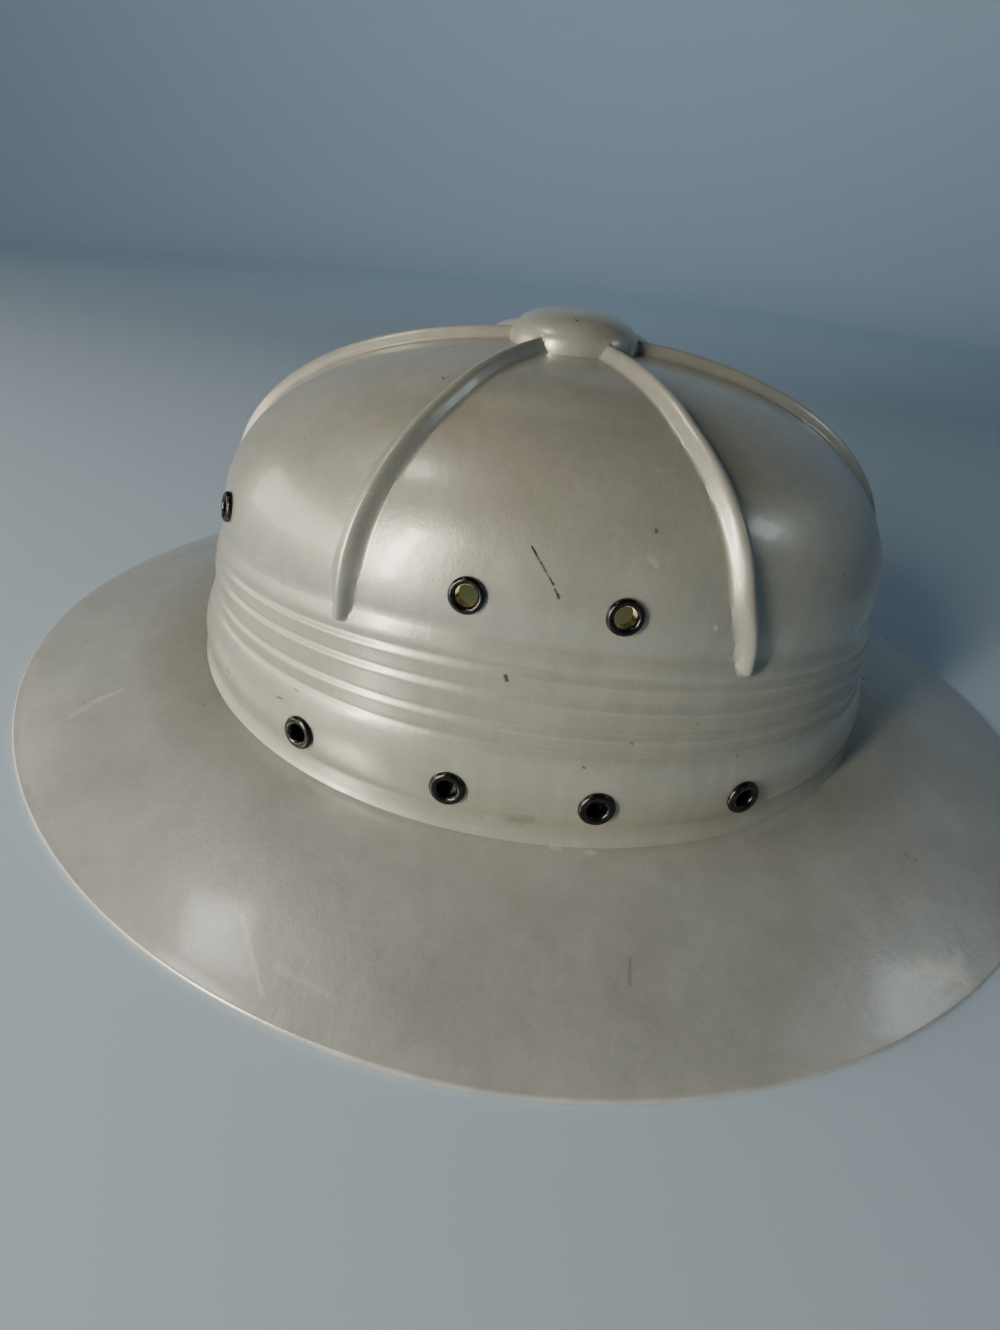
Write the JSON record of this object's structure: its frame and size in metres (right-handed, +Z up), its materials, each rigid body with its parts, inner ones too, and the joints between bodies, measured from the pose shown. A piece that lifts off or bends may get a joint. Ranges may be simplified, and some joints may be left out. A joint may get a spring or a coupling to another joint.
{
  "type": "pith helmet",
  "caption": "Grey moulded-plastic pith helmet: oval brim, stepped pleated band, six ribs meeting at a crown button, black eyelets and rivets.",
  "frame": {"origin": "centre of the brim's rim, on the surface the helmet stands on", "axes": "+Z up out of the crown, -Y towards the helmet's front, +X towards the wearer's left"},
  "size_m": [0.2824, 0.34, 0.1194],
  "materials": {
    "grey_moulded_plastic": "satin, slightly pearly, warm grey",
    "black_enamelled_metal": "glossy black enamel"
  },
  "bodies": {
    "root": {"shell": "grey_moulded_plastic", "vent_eyelet_left_front": "black_enamelled_metal", "vent_eyelet_left_side_fore": "black_enamelled_metal", "vent_eyelet_left_side_aft": "black_enamelled_metal", "vent_eyelet_right_front": "black_enamelled_metal", "vent_eyelet_right_side_fore": "black_enamelled_metal", "vent_eyelet_right_side_aft": "black_enamelled_metal", "lower_rivet_left_fore_outer": "black_enamelled_metal", "lower_rivet_left_fore_inner": "black_enamelled_metal", "lower_rivet_left_aft_inner": "black_enamelled_metal", "lower_rivet_left_aft_outer": "black_enamelled_metal", "lower_rivet_right_fore_outer": "black_enamelled_metal", "lower_rivet_right_fore_inner": "black_enamelled_metal", "lower_rivet_right_aft_inner": "black_enamelled_metal", "lower_rivet_right_aft_outer": "black_enamelled_metal"}
  },
  "joints": []
}
